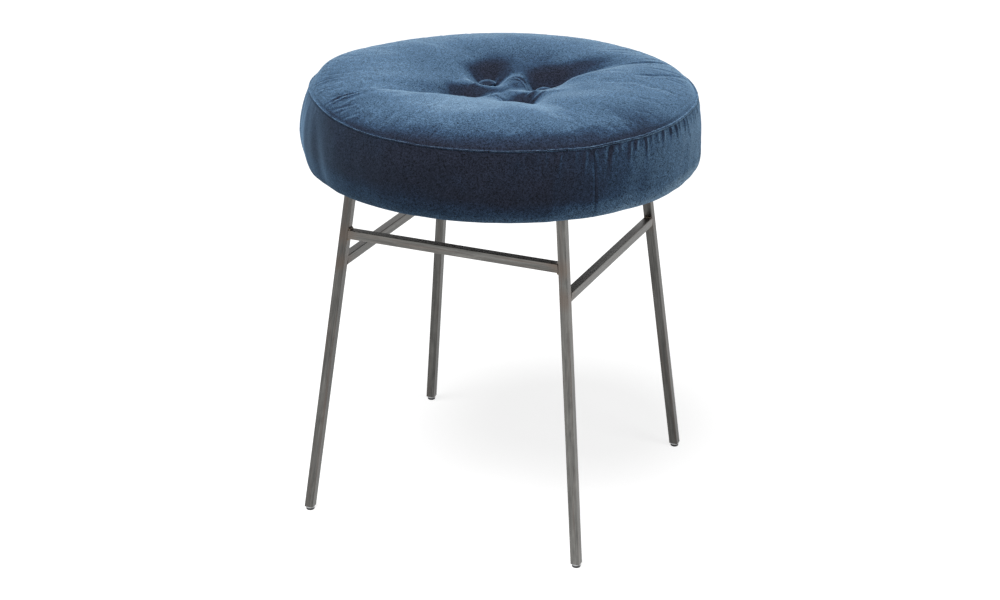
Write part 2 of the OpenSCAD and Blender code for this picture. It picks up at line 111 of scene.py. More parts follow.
CAMERA_AZIMUTH = math.radians(23.197)
CAMERA_PITCH = math.radians(22.281)
CAMERA_ROLL = math.radians(0.452)
CAMERA_DISTANCE = 2.3837
TARGET_RIGHT = 0.00056
TARGET_HEIGHT = 0.22096
FOCAL_PIXELS = 2124.2
FRAME_WIDTH = 1000
SENSOR_WIDTH = 36


def make_camera():
    azimuth, pitch, roll = CAMERA_AZIMUTH, CAMERA_PITCH, CAMERA_ROLL
    right = Vector((math.cos(azimuth), math.sin(azimuth), 0))
    level = Vector((math.sin(azimuth), -math.cos(azimuth), 0))
    back = level * math.cos(pitch) + Vector((0, 0, math.sin(pitch)))
    up = back.cross(right)
    side = math.cos(roll) * right + math.sin(roll) * up
    top = math.cos(roll) * up - math.sin(roll) * right
    data = bpy.data.cameras.new("camera")
    data.sensor_width = SENSOR_WIDTH
    data.lens = FOCAL_PIXELS * SENSOR_WIDTH / FRAME_WIDTH
    camera = bpy.data.objects.new("camera", data)
    bpy.context.scene.collection.objects.link(camera)
    place = right * TARGET_RIGHT + Vector((0, 0, TARGET_HEIGHT)) + back * CAMERA_DISTANCE
    turned = Matrix((side, top, back)).transposed().to_4x4()
    camera.matrix_world = Matrix.Translation(place) @ turned
    bpy.context.scene.camera = camera


make_camera()


class Nodes:
    """A short way to write the node tree of a new material or world."""

    def __init__(self, owner):
        self.owner = owner
        owner.use_nodes = True
        self.tree = owner.node_tree
        self.tree.nodes.clear()

    def plug(self, socket, value):
        """Feeds an input with another node's output or with a value."""
        if isinstance(value, bpy.types.NodeSocket):
            self.tree.links.new(value, socket)
        else:
            socket.default_value = value

    def add(self, kind, settings=None, **inputs):
        """Adds a node. Inputs are values or sockets, by name with _ for a space."""
        node = self.tree.nodes.new(kind)
        for key, value in (settings or {}).items():
            setattr(node, key, value)
        for key, value in inputs.items():
            self.plug(node.inputs[key.replace("_", " ")], value)
        return node

    def coordinates(self):
        return self.add("ShaderNodeTexCoord").outputs["Object"]

    def normal(self):
        return self.add("ShaderNodeNewGeometry").outputs["Normal"]

    def noise(self, vector, scale, detail=3.0, roughness=0.5, distortion=0.0):
        node = self.add(
            "ShaderNodeTexNoise",
            Vector=vector,
            Scale=scale,
            Detail=detail,
            Roughness=roughness,
            Distortion=distortion,
        )
        return node.outputs["Fac"]

    def voronoi(self, vector, scale):
        return self.add("ShaderNodeTexVoronoi", Vector=vector, Scale=scale).outputs["Distance"]

    def ramp(self, value, *stops):
        """Colour ramp through (position, colour) stops. A number makes a grey."""
        node = self.add("ShaderNodeValToRGB", Fac=value)
        elements = node.color_ramp.elements
        while len(elements) < len(stops):
            elements.new(0.5)
        for element, (position, colour) in zip(elements, stops):
            element.position = position
            rgb = colour if isinstance(colour, tuple) else (colour,) * 3
            element.color = (*rgb, 1)
        return node.outputs["Color"]

    def mix(self, factor, first, second, blend="MIX"):
        node = self.add("ShaderNodeMix", {"data_type": "RGBA", "blend_type": blend})
        colours = [socket for socket in node.inputs if socket.type == "RGBA"]
        self.plug(node.inputs[0], factor)
        for socket, colour in zip(colours, (first, second)):
            self.plug(socket, (*colour, 1) if isinstance(colour, tuple) else colour)
        return [socket for socket in node.outputs if socket.type == "RGBA"][0]

    def math(self, operation, first, second=0.0):
        node = self.add("ShaderNodeMath", {"operation": operation})
        self.plug(node.inputs[0], first)
        self.plug(node.inputs[1], second)
        return node.outputs[0]

    def vector(self, operation, first, second=None, scale=None):
        node = self.add("ShaderNodeVectorMath", {"operation": operation})
        self.plug(node.inputs[0], first)
        if second is not None:
            self.plug(node.inputs[1], second)
        if scale is not None:
            self.plug(node.inputs["Scale"], scale)
        return node.outputs["Value" if operation in ("DOT_PRODUCT", "LENGTH") else "Vector"]

    def dot(self, vector, way):
        return self.vector("DOT_PRODUCT", vector, way)

    def length(self, vector):
        return self.vector("LENGTH", vector)

    def height(self, vector):
        return self.add("ShaderNodeSeparateXYZ", Vector=vector).outputs["Z"]

    def along(self, vector, axis, across_scale, along_scale):
        """Coordinates of a bar, finer across its axis than along it."""
        change = self.math("MULTIPLY", self.dot(vector, axis), along_scale - across_scale)
        stretch = self.vector("SCALE", axis, scale=change)
        return self.vector("ADD", self.vector("SCALE", vector, scale=across_scale), stretch)

    def edges(self, reach):
        """How near a point is to a sharp edge: 0 away from it."""
        rounded = self.add("ShaderNodeBevel", {"samples": 4}, Radius=reach).outputs["Normal"]
        return self.math("SUBTRACT", 1.0, self.dot(rounded, self.normal()))

    def bump(self, height, distance, strength):
        node = self.add("ShaderNodeBump", Height=height, Distance=distance, Strength=strength)
        return node.outputs["Normal"]

    def seen(self):
        """1 where the camera, a reflection or a look through glass meets the surface."""
        path = self.add("ShaderNodeLightPath").outputs
        seen = self.math("MAXIMUM", path["Is Camera Ray"], path["Is Glossy Ray"])
        return self.math("MAXIMUM", seen, path["Is Transmission Ray"])

    def finish(self, **inputs):
        """Ends a material in a Principled shader and returns the material."""
        shader = self.add("ShaderNodeBsdfPrincipled", **inputs)
        self.add("ShaderNodeOutputMaterial", Surface=shader.outputs[0])
        return self.owner


def new_material(name):
    return Nodes(bpy.data.materials.new(name))


# The velvet

# Ways of the painted light on the top panel and round the band: surfaces that face them are painted
# paler, those that face away darker
TOP_PAINTED_LIGHT_WAY = (-0.17, 0.47, 0)
BAND_PAINTED_LIGHT_WAY = (0.25, 0.435, 0)

# Painted highlights and painted shade on the top panel: place and reach in mm, change of shade
PAINTED_LIGHT_SPOTS = [
    ((-6, -144), 50, 0.12),
    ((183, -70), 48, -0.13),
    ((104, -6), 32, -0.1),
    ((-157, -85), 32, -0.1),
]

# The velvet's colour by shade, from the deepest painted shade to the palest painted light
VELVET_COLOURS = [
    (0.0, (0.012, 0.0145, 0.025)),
    (0.2, (0.0135, 0.0215, 0.041)),
    (0.34, (0.022, 0.043, 0.08)),
    (0.5, (0.046, 0.086, 0.143)),
    (0.68, (0.064, 0.115, 0.185)),
    (1.0, (0.17, 0.262, 0.36)),
]

# The shadow of the join fades out within this distance of it
JOIN_SHADOW = 1.2 * MM


def top_painted_light(n, place, normal, height):
    """Painted light and shade of the top panel, on surfaces that face up: paler where it faces a way
    to the back and left, darker where it faces the front and in the hollow, with painted spots.
    """
    flat = n.vector("MULTIPLY", place, (1, 1, 0))
    reach = n.math("DIVIDE", n.length(flat), PANEL_R)
    facing_painted_light = n.math("ADD", n.dot(normal, TOP_PAINTED_LIGHT_WAY), 0.5)
    # Painted shade: darker in the hollow than on the crown, for the same facing
    in_hollow = n.ramp(facing_painted_light, (0.16, 0.0), (0.25, 0.11), (0.34, 0.3), (0.44, 0.46), (0.6, 0.6))
    on_crown = n.ramp(facing_painted_light, (0.1, 0.03), (0.2, 0.13), (0.33, 0.36), (0.46, 0.49), (0.6, 0.63))
    shade = n.mix(n.ramp(reach, (0.45, 0.0), (0.75, 1.0)), in_hollow, on_crown)
    # Each spot adds a painted highlight where its change is positive and painted shade where it is
    # negative
    for (x, y), wide, change in PAINTED_LIGHT_SPOTS:
        away = n.length(n.vector("SUBTRACT", flat, (x * MM, y * MM, 0)))
        spot = n.ramp(n.math("DIVIDE", away, wide * MM), (0.1, 1.0), (0.5, 0.5), (1.0, 0.0))
        shade = n.math("ADD", shade, n.math("MULTIPLY", spot, change))
    return n.math("MULTIPLY", shade, n.ramp(height, (0.2, 0.0), (0.7, 1.0)))


def band_painted_light(n, normal, height):
    """Painted light on the band, paler where it faces a way to the back right, and on the cushion's
    underside, paler where it faces down, as if lit from the floor.
    """
    facing_painted_light = n.math("ADD", n.dot(normal, BAND_PAINTED_LIGHT_WAY), 0.5)
    on_band = n.ramp(
        facing_painted_light,
        (0.2, 0.0),
        (0.3, 0.035),
        (0.385, 0.16),
        (0.455, 0.29),
        (0.57, 0.43),
        (0.74, 0.7),
        (1.0, 0.82),
    )
    on_band = n.math("MULTIPLY", on_band, n.ramp(height, (0.2, 1.0), (0.6, 0.0)))
    # Painted light from below: surfaces that face downwards are made paler
    downward = n.math("MULTIPLY", height, -1.0)
    under = n.ramp(downward, (0.0, 0.0), (0.12, 0.22), (0.5, 0.46))
    return n.math("ADD", on_band, under)


def painted_pile_sheen(n, height):
    """Painted sheen: what the shade gains where the pile is seen at a grazing angle, mostly on the
    top panel.
    """
    facing = n.add("ShaderNodeLayerWeight", Blend=0.5).outputs["Facing"]
    sheen = n.ramp(facing, (0.3, 0.0), (0.62, 0.09), (0.78, 0.2), (1.0, 0.36))
    return n.math("MULTIPLY", sheen, n.ramp(height, (0.1, 0.15), (0.6, 1.0)))


def shadow_of_join(n, place, colour):
    """Darkens a thin line where the ends of the band are sewn together."""
    join_way = (math.cos(JOIN_ANGLE), math.sin(JOIN_ANGLE), 0)
    across_join = (-join_way[1], join_way[0], 0)
    aside = n.math("ABSOLUTE", n.dot(place, across_join))
    line = n.ramp(n.math("DIVIDE", aside, JOIN_SHADOW), (0.25, 0.5), (0.8, 1.0))
    outside = n.math("GREATER_THAN", n.dot(place, join_way), HEM_R)
    below_seam = n.math("LESS_THAN", n.height(place), SEAM_Z - VELVET_T)
    on_join = n.math("MULTIPLY", outside, below_seam)
    return n.mix(on_join, colour, n.mix(1.0, colour, line, "MULTIPLY"))


def velvet_material(name, pressed=0.0):
    """Short blue pile, coloured with painted light and shade. pressed is painted shade: it darkens
    the colour by that much shade.
    """
    n = new_material(name)
    place, normal = n.coordinates(), n.normal()
    height = n.height(normal)
    pile = n.mix(0.3, n.noise(place, 900, 2, 0.8), n.noise(place, 380, 3, 0.7))
    patches = n.noise(place, 26, 4, 0.65, 0.5)
    strokes = n.noise(n.vector("MULTIPLY", place, (9, 9, 26)), 1, 3, 0.5, 1.0)
    shade = n.math("ADD", top_painted_light(n, place, normal, height), painted_pile_sheen(n, height))
    shade = n.math("ADD", shade, band_painted_light(n, normal, height))
    shade = n.math("ADD", shade, n.math("MULTIPLY", n.math("SUBTRACT", patches, 0.47), 0.3))
    shade = n.math("ADD", shade, n.math("MULTIPLY", n.math("SUBTRACT", strokes, 0.5), 0.14))
    # pressed takes shade away: painted shade, used for the buttons
    colour = n.ramp(n.math("SUBTRACT", shade, pressed), *VELVET_COLOURS)
    colour = n.mix(1.0, colour, n.ramp(pile, (0.38, 0.0), (0.62, 2.1)), "MULTIPLY")
    return n.finish(
        Base_Color=shadow_of_join(n, place, colour),
        Roughness=0.9,
        Specular_IOR_Level=0.1,
        Sheen_Weight=0.4,
        Sheen_Roughness=0.4,
        Sheen_Tint=(0.35, 0.6, 0.9, 1),
        Normal=n.bump(pile, 0.5 * MM, 0.35),
    )


# The other materials

HEAT_REACH = 14 * MM
EDGE_SHADE_REACH = 1.1 * MM


def steel_material(name, axis, base, seed, way, joints=()):
    """Raw hot-rolled bar under clear lacquer, streaked along its axis.

    joints are the places along way where it is welded and has a brown heat tint.
    """
    n = new_material(name)
    place = n.vector("ADD", n.coordinates(), (seed, 0, 0))
    streaks = n.noise(n.along(place, axis, 900, 14), 1, 4, 0.55, 0.3)
    scale = n.noise(n.along(place, axis, 160, 28), 1, 5, 0.65, 0.8)
    grain = n.noise(n.along(place, axis, 2400, 700), 1, 2, 0.6)
    rust = n.noise(n.along(place, axis, 260, 9), 1, 4, 0.6, 0.5)
    tone = n.ramp(streaks, (0.3, 0.66), (0.5, 1.0), (0.72, 1.3))
    colour = n.mix(1.0, (base, base * 0.985, base * 0.93), tone, "MULTIPLY")
    colour = n.mix(1.0, colour, n.ramp(scale, (0.35, 0.72), (0.65, 1.22)), "MULTIPLY")
    brown = n.ramp(rust, (0.5, 0.0), (0.72, 0.55))
    colour = n.mix(brown, colour, (base * 1.12, base * 0.86, base * 0.74))
    place_along = n.dot(n.coordinates(), way)
    for joint in joints:
        aside = n.math("ABSOLUTE", n.math("SUBTRACT", place_along, joint))
        aside = n.math("ADD", n.math("DIVIDE", aside, HEAT_REACH), n.math("SUBTRACT", 0.5, scale))
        tint = n.ramp(aside, (0.2, 0.5), (1.0, 0.0))
        colour = n.mix(tint, colour, (base, base * 0.74, base * 0.58))
    # Painted shade: the colour is darker along the bar's sharp edges
    edges = n.ramp(n.edges(EDGE_SHADE_REACH), (0.02, 1.0), (0.16, 0.62))
    colour = n.mix(1.0, colour, edges, "MULTIPLY")
    colour = n.mix(1.0, colour, n.ramp(grain, (0.3, 0.9), (0.7, 1.1)), "MULTIPLY")
    height = n.math("ADD", n.math("MULTIPLY", streaks, 0.6), n.math("MULTIPLY", grain, 0.4))
    return n.finish(
        Base_Color=colour,
        Metallic=1.0,
        Roughness=n.math("ADD", n.math("MULTIPLY", scale, 0.22), 0.3),
        Coat_Weight=0.25,
        Coat_Roughness=0.3,
        Normal=n.bump(height, 0.12 * MM, 0.5),
    )


def weld_material():
    """Weld bead with a heat tint from straw to blue-brown."""
    n = new_material("weld")
    place = n.coordinates()
    scales = n.voronoi(place, 700)
    tint = n.noise(place, 240, 3, 0.6)
    colour = n.ramp(
        tint,
        (0.3, (0.1, 0.075, 0.06)),
        (0.5, (0.2, 0.16, 0.12)),
        (0.7, (0.17, 0.18, 0.2)),
    )
    return n.finish(
        Base_Color=colour,
        Metallic=1.0,
        Roughness=n.math("ADD", n.math("MULTIPLY", tint, 0.25), 0.28),
        Normal=n.bump(scales, 0.5 * MM, 0.6),
    )


def zinc_material():
    """Bright zinc plate with fine spangle."""
    n = new_material("zinc")
    place = n.coordinates()
    spangle = n.voronoi(place, 900)
    haze = n.noise(place, 300, 3, 0.6)
    return n.finish(
        Base_Color=n.ramp(haze, (0.3, (0.3, 0.305, 0.31)), (0.7, (0.44, 0.445, 0.45))),
        Metallic=1.0,
        Roughness=n.math("ADD", n.math("MULTIPLY", spangle, 0.25), 0.26),
        Normal=n.bump(haze, 0.1 * MM, 0.3),
    )


def plastic_material():
    """Matt black moulding with a fine spark-eroded texture."""
    n = new_material("pad_plastic")
    place = n.coordinates()
    grain = n.noise(place, 2600, 2, 0.6)
    wear = n.noise(place, 180, 3, 0.6)
    return n.finish(
        Base_Color=n.ramp(wear, (0.3, (0.012, 0.012, 0.013)), (0.75, (0.03, 0.03, 0.031))),
        Roughness=n.math("ADD", n.math("MULTIPLY", wear, 0.2), 0.42),
        Normal=n.bump(grain, 0.1 * MM, 0.4),
    )


PLIES = 9


def plywood_material():
    """Birch plywood: long grain on the faces, dark glue lines round the edge."""
    n = new_material("plywood")
    place = n.coordinates()
    grain = n.noise(n.vector("MULTIPLY", place, (60, 9, 60)), 1, 5, 0.6, 1.2)
    pores = n.noise(n.vector("MULTIPLY", place, (900, 50, 900)), 1, 2, 0.6)
    face = n.ramp(grain, (0.3, (0.42, 0.28, 0.15)), (0.7, (0.6, 0.44, 0.27)))
    two_plies = 2 * (BOARD_TOP_Z - BOARD_Z) / PLIES
    share = n.math("DIVIDE", n.math("SUBTRACT", n.height(place), BOARD_Z), two_plies)
    edge = n.ramp(
        n.math("FRACT", share),
        (0.44, (0.55, 0.4, 0.24)),
        (0.5, (0.3, 0.18, 0.09)),
        (0.56, (0.38, 0.25, 0.13)),
    )
    upright = n.math("ABSOLUTE", n.dot(n.normal(), (0, 0, 1)))
    return n.finish(
        Base_Color=n.mix(n.math("GREATER_THAN", upright, 0.6), edge, face),
        Roughness=0.62,
        Normal=n.bump(pores, 0.15 * MM, 0.4),
    )


def twine_material():
    """Waxed polyester twine with a twisted lay."""
    n = new_material("twine")
    lay = n.add(
        "ShaderNodeTexWave",
        {"bands_direction": "DIAGONAL"},
        Vector=n.coordinates(),
        Scale=260,
        Distortion=1.5,
    ).outputs["Fac"]
    colour = n.ramp(lay, (0.2, (0.008, 0.012, 0.02)), (0.8, (0.03, 0.045, 0.075)))
    return n.finish(Base_Color=colour, Roughness=0.5, Normal=n.bump(lay, 0.3 * MM, 0.7))


def dust_cloth_material():
    """Black spunbonded cloth with its pattern of heat-pressed dots."""
    n = new_material("dust_cloth")
    place = n.coordinates()
    fibres = n.noise(place, 1500, 4, 0.7, 1.5)
    pressed = n.ramp(n.voronoi(place, 520), (0.16, 0.0), (0.3, 1.0))
    colour = n.ramp(fibres, (0.3, (0.008, 0.008, 0.009)), (0.7, (0.03, 0.03, 0.032)))
    return n.finish(
        Base_Color=n.mix(pressed, (0.045, 0.045, 0.048), colour),
        Roughness=0.75,
        Sheen_Weight=0.2,
        Sheen_Tint=(0.5, 0.5, 0.52, 1),
        Normal=n.bump(n.mix(0.5, fibres, pressed), 0.25 * MM, 0.6),
    )


# Shapes that the cushion is made of


def bell(x, width):
    return np.exp(-((x / width) ** 2))


def ease(x, low, high):
    """Smooth step from 0 at low to 1 at high."""
    t = np.clip((x - low) / (high - low), 0, 1)
    return t * t * (3 - 2 * t)


def turn(angle, middle):
    """Signed difference between two angles."""
    return (angle - middle + np.pi) % (2 * np.pi) - np.pi


class Waves:
    """Smooth seeded unevenness over a plane: a sum of sine waves with a mean square of 1."""

    def __init__(self, seed, shortest, longest, count=28):
        rng = np.random.default_rng(seed)
        length = np.exp(rng.uniform(np.log(shortest), np.log(longest), count))
        heading = rng.uniform(0, 2 * np.pi, count)
        self.x = 2 * np.pi / length * np.cos(heading)
        self.y = 2 * np.pi / length * np.sin(heading)
        self.phase = rng.uniform(0, 2 * np.pi, count)
        self.size = np.sqrt(length / longest)
        self.size *= math.sqrt(2 / (self.size**2).sum())

    def __call__(self, x, y):
        waves = zip(self.x, self.y, self.phase, self.size)
        return sum(size * np.sin(kx * x + ky * y + phase) for kx, ky, phase, size in waves)


class Stroke:
    """A ridge, or a crease with a lip, along a slightly bent line of the panel."""

    def __init__(self, start, end, sag, height, width, lip=0.0, power=0.8):
        self.start = np.array(start) * MM
        self.way = np.array(end) * MM - self.start
        self.length = np.hypot(*self.way)
        self.way = self.way / self.length
        self.sag, self.height, self.width = sag * MM, height * MM, width * MM
        self.lip, self.power = lip, power

    def __call__(self, x, y):
        dx, dy = x - self.start[0], y - self.start[1]
        share = np.clip((dx * self.way[0] + dy * self.way[1]) / self.length, 0, 1)
        across = dy * self.way[0] - dx * self.way[1] - 4 * self.sag * share * (1 - share)
        form = bell(across, self.width) - self.lip * bell(across + 1.9 * self.width, self.width)
        return self.height * np.sin(np.pi * share) ** self.power * form


# The top panel

# The crown, the hollow and the tufts, as in the CAD
CROWN_RISE = 26.6 * MM
CROWN_POWER = 4.25
CROWN_EASE = 0.68
FADE_POWER = 8
HOLLOW_DEPTH = 28.5 * MM
HOLLOW_R = 87 * MM
HOLLOW_POWER = 2.1
TUFT_DEPTH = 13.5 * MM
TUFT_R = 21 * MM
TUFT_POWER = 3

# The fold that runs out from each button: depth, width, length and start behind the button
# in mm, turn in degrees
FOLDS = {
    "front_left": (7.5, 12.9, 106, 39, 9),
    "front_right": (5.6, 15.3, 140, 40, 6),
    "back_right": (8.6, 10.4, 116, 55, -2),
    "back_left": (5.1, 21, 140, 56, -4),
}

# What the velvet adds to them
CREASE_DEPTH = 1.6 * MM
CREASE_W = 4 * MM
CREASE_EASE = 30 * MM
PUCKERS = 7
PUCKER_HEIGHT = 0.6 * MM
PUCKER_R = 22 * MM

# Bridges of cloth between neighbouring buttons: start, end, sag, height and width in mm,
# share of the lip
BRIDGES = [
    Stroke((4, -0.4), (-47, 3), 0, 3.4, 8.4),
    Stroke((-12, 1.5), (83, -10), 0, 2.4, 7.2),
    Stroke((0, -9), (-7, -52), 0, 2.5, 4.2),
    Stroke((32, -14), (48, 2), 1, 1.2, 2.2),
    Stroke((42, -19), (56, -6), 1, 1.2, 2.0),
    Stroke((-14, -19), (16, -26), 3, -1.2, 1.8, 0.7),
    Stroke((-36, -12), (-28, 6), 1, 0.9, 2.0),
]
# Wrinkles near the seam that show in the light, written the same way
CREASES = [
    Stroke((-133, -146), (-108, -128), -1, -1.8, 1.7, 0.9),
    Stroke((-138, -158), (-102, -130), -2, -1.7, 1.6, 0.9),
    Stroke((-124, -168), (-92, -157), -2, -1.2, 1.6, 0.9),
    Stroke((-181, -104), (-144, -92), -1, -1.3, 1.7, 0.9),
    Stroke((-168, -125), (-142, -117), -1, -1.2, 1.5, 0.9),
    Stroke((-104, -182), (-82, -175), -1, -0.7, 1.6, 0.8),
    Stroke((98, 88), (146, 128), -4, -1.6, 1.7, -0.9),
    Stroke((134, 45), (180, 106), -6, -1.7, 1.7, -0.9),
    Stroke((78, 74), (108, 90), -2, -0.6, 1.6, -0.9),
    Stroke((98, 20), (132, 24), 2, -0.5, 1.5, 0.9),
    Stroke((88, 48), (128, 56), 3, -0.4, 1.7, -0.9),
]
# Fans of faint wrinkles: from and to angle and step in degrees, reach and depth in mm
FANS = [
    (-160, -118, 3.4, 30, 0.35),
    (18, 60, 5.5, 50, 0.35),
    (75, 200, 7.5, 30, 0.3),
]

# The bolster behind the middle: middle, half widths and height in mm, power
BOLSTER_MOUNDS = [
    ((6, 26), (20, 14), 4.2, 3),
    ((22, 20), (10, 11), 3.5, 3),
    ((4, 8), (17, 9), 4, 2),
]
BOLSTER_CREASE = Stroke((-11, 23), (25, 19), 11, -1.3, 1.5, 0.7, 0.5)

# Soft lobes of the crown: way out from the middle, height in mm
LOBES = [((0, 1), 6), ((0, -1), -2.1), ((-1, 0), 0.8)]
LOBE_R = 95 * MM
LOBE_W = 60 * MM

# Swellings near the rim and at the very edge: angle in degrees, spread in radians, height in mm
RIM_SWELLS = [(178, 0.4, 3), (122, 0.5, -2.4)]
RIM_R = 180 * MM
RIM_W = 32 * MM
EDGE_SWELLS = [(189, 0.3, 5), (38, 0.3, 2.5)]
EDGE_R = 196 * MM
EDGE_W = 24 * MM
EDGE_EASE = 12 * MM

UNEVEN = 0.3 * MM
WRINKLE_EASE = 6 * MM


def crown_z(r):
    share = np.minimum(r / PANEL_R, 1)
    return PANEL_Z + CROWN_RISE * (1 - share**CROWN_POWER) ** CROWN_EASE


def fold(x, y, name):
    """How far a button and the crease that runs out from it pull the cloth down."""
    corner = CORNERS[name]
    depth, width, length, start, swing = FOLDS[name]
    arm_x = x - TUFT_MIDDLE[0] - corner[0] * TUFT_HALF
    arm_y = y - TUFT_MIDDLE[1] - corner[1] * TUFT_HALF
    way_out = math.atan2(corner[1], corner[0]) + math.radians(swing)
    along = arm_x * math.cos(way_out) + arm_y * math.sin(way_out)
    across = arm_x * math.sin(way_out) - arm_y * math.cos(way_out)
    width = width * MM * (1 + np.maximum(along, 0) / (length * MM))
    way = np.clip((along + start * MM) / ((length + start) * MM), 0, 1)
    share = np.sin(np.pi * way)
    crease = np.exp(-np.sqrt(across**2 + MM**2) / CREASE_W)
    creased = corner[0] * corner[1] > 0
    distance = np.hypot(arm_x, arm_y)
    around = np.arctan2(arm_y, arm_x)
    pucker = bell(distance, PUCKER_R) * (1 - bell(distance, BUTTON_R))
    pucker = pucker * np.sin(PUCKERS * around + 3 * corner[0] + 2 * corner[1])
    return (
        TUFT_DEPTH * np.exp(-((distance / TUFT_R) ** TUFT_POWER))
        + depth * MM * share * bell(across, width)
        + CREASE_DEPTH * share * ease(along, 0, CREASE_EASE) * crease * creased
        + PUCKER_HEIGHT * pucker
    )


def bolster(x, y):
    """The small round bolster of cloth that stands up between the back buttons."""
    rise = BOLSTER_CREASE(x, y)
    for (mid_x, mid_y), (wide_x, wide_y), height, power in BOLSTER_MOUNDS:
        near = np.hypot((x - mid_x * MM) / (wide_x * MM), (y - mid_y * MM) / (wide_y * MM))
        rise = rise + height * MM * np.exp(-(near**power))
    return rise


def fan_wrinkles():
    """Faint wrinkles that run in from the seam where the panel is eased in."""
    rng = np.random.default_rng(7)
    found = []
    for low, high, pitch, reach, depth in FANS:
        for middle in np.arange(low, high, pitch):
            a = math.radians(middle + rng.uniform(-0.3, 0.3) * pitch)
            b = a + rng.uniform(-0.06, 0.1)
            r = PANEL_R / MM - rng.uniform(1, 9)
            inner = r - reach * rng.uniform(0.6, 1.4)
            start = (r * math.cos(a), r * math.sin(a))
            end = (inner * math.cos(b), inner * math.sin(b))
            sag = rng.uniform(-1.5, 1.5)
            height = -depth * rng.uniform(0.5, 1.3)
            found.append(Stroke(start, end, sag, height, rng.uniform(1.5, 2.4), 0.8))
    return found


panel_waves = Waves(3, 45 * MM, 140 * MM)
small_strokes = CREASES + fan_wrinkles()


def swelling(around, swells):
    """Height in mm of the swellings of a table at an angle."""
    return sum(
        height * bell(turn(around, math.radians(middle)), spread)
        for middle, spread, height in swells
    )


def top_height(x, y):
    """Height of the velvet over a point of the top panel."""
    r = np.hypot(x, y)
    around = np.arctan2(y, x)
    fade = 1 - np.minimum(r / PANEL_R, 1) ** FADE_POWER
    from_middle = np.hypot(x - TUFT_MIDDLE[0], y - TUFT_MIDDLE[1])
    down = HOLLOW_DEPTH * np.exp(-((from_middle / HOLLOW_R) ** HOLLOW_POWER))
    for name in CORNERS:
        down = down + fold(x, y, name)
    up = bolster(x, y) + UNEVEN * panel_waves(x, y)
    for bridge in BRIDGES:
        up = up + bridge(x, y)
    for way, height in LOBES:
        up = up + height * MM * bell(np.hypot(x - LOBE_R * way[0], y - LOBE_R * way[1]), LOBE_W)
    up = up + bell(r - RIM_R, RIM_W) * swelling(around, RIM_SWELLS) * MM
    edge = bell(r - EDGE_R, EDGE_W) * ease(PANEL_R - r, 0, EDGE_EASE)
    edge = edge * swelling(around, EDGE_SWELLS) * MM
    fine = sum(stroke(x, y) for stroke in small_strokes)
    return crown_z(r) + (up - down) * fade + edge + fine * ease(PANEL_R - r, 0, WRINKLE_EASE)


# The cloth simulation of the top panel: the pitch of its cells, its frames, the edge that it
# leaves out and what holds it
CLOTH_PITCH = 4.5 * MM
CLOTH_FRAMES = 20
LEFT_OUT_EDGE = 1 * MM
HELD_EDGE = 9 * MM
HELD_BUTTON_SHARE = 0.7
CLOTH_SETTINGS = {
    "quality": 6,
    "mass": 0.3,
    "tension_stiffness": 15,
    "compression_stiffness": 15,
    "shear_stiffness": 5,
    "bending_stiffness": 0.05,
    "use_pressure": True,
    "uniform_pressure_force": 4,
    "shrink_min": -0.012,
    "vertex_group_mass": "held",
}

# How much of the unevenness that it gives is kept, and the span in cells of what counts as even
KEPT_SHARE = 0.4
KEPT_MOST = 0.4 * MM
EVEN_SPAN = 8
EVEN_SPREAD = 2.6


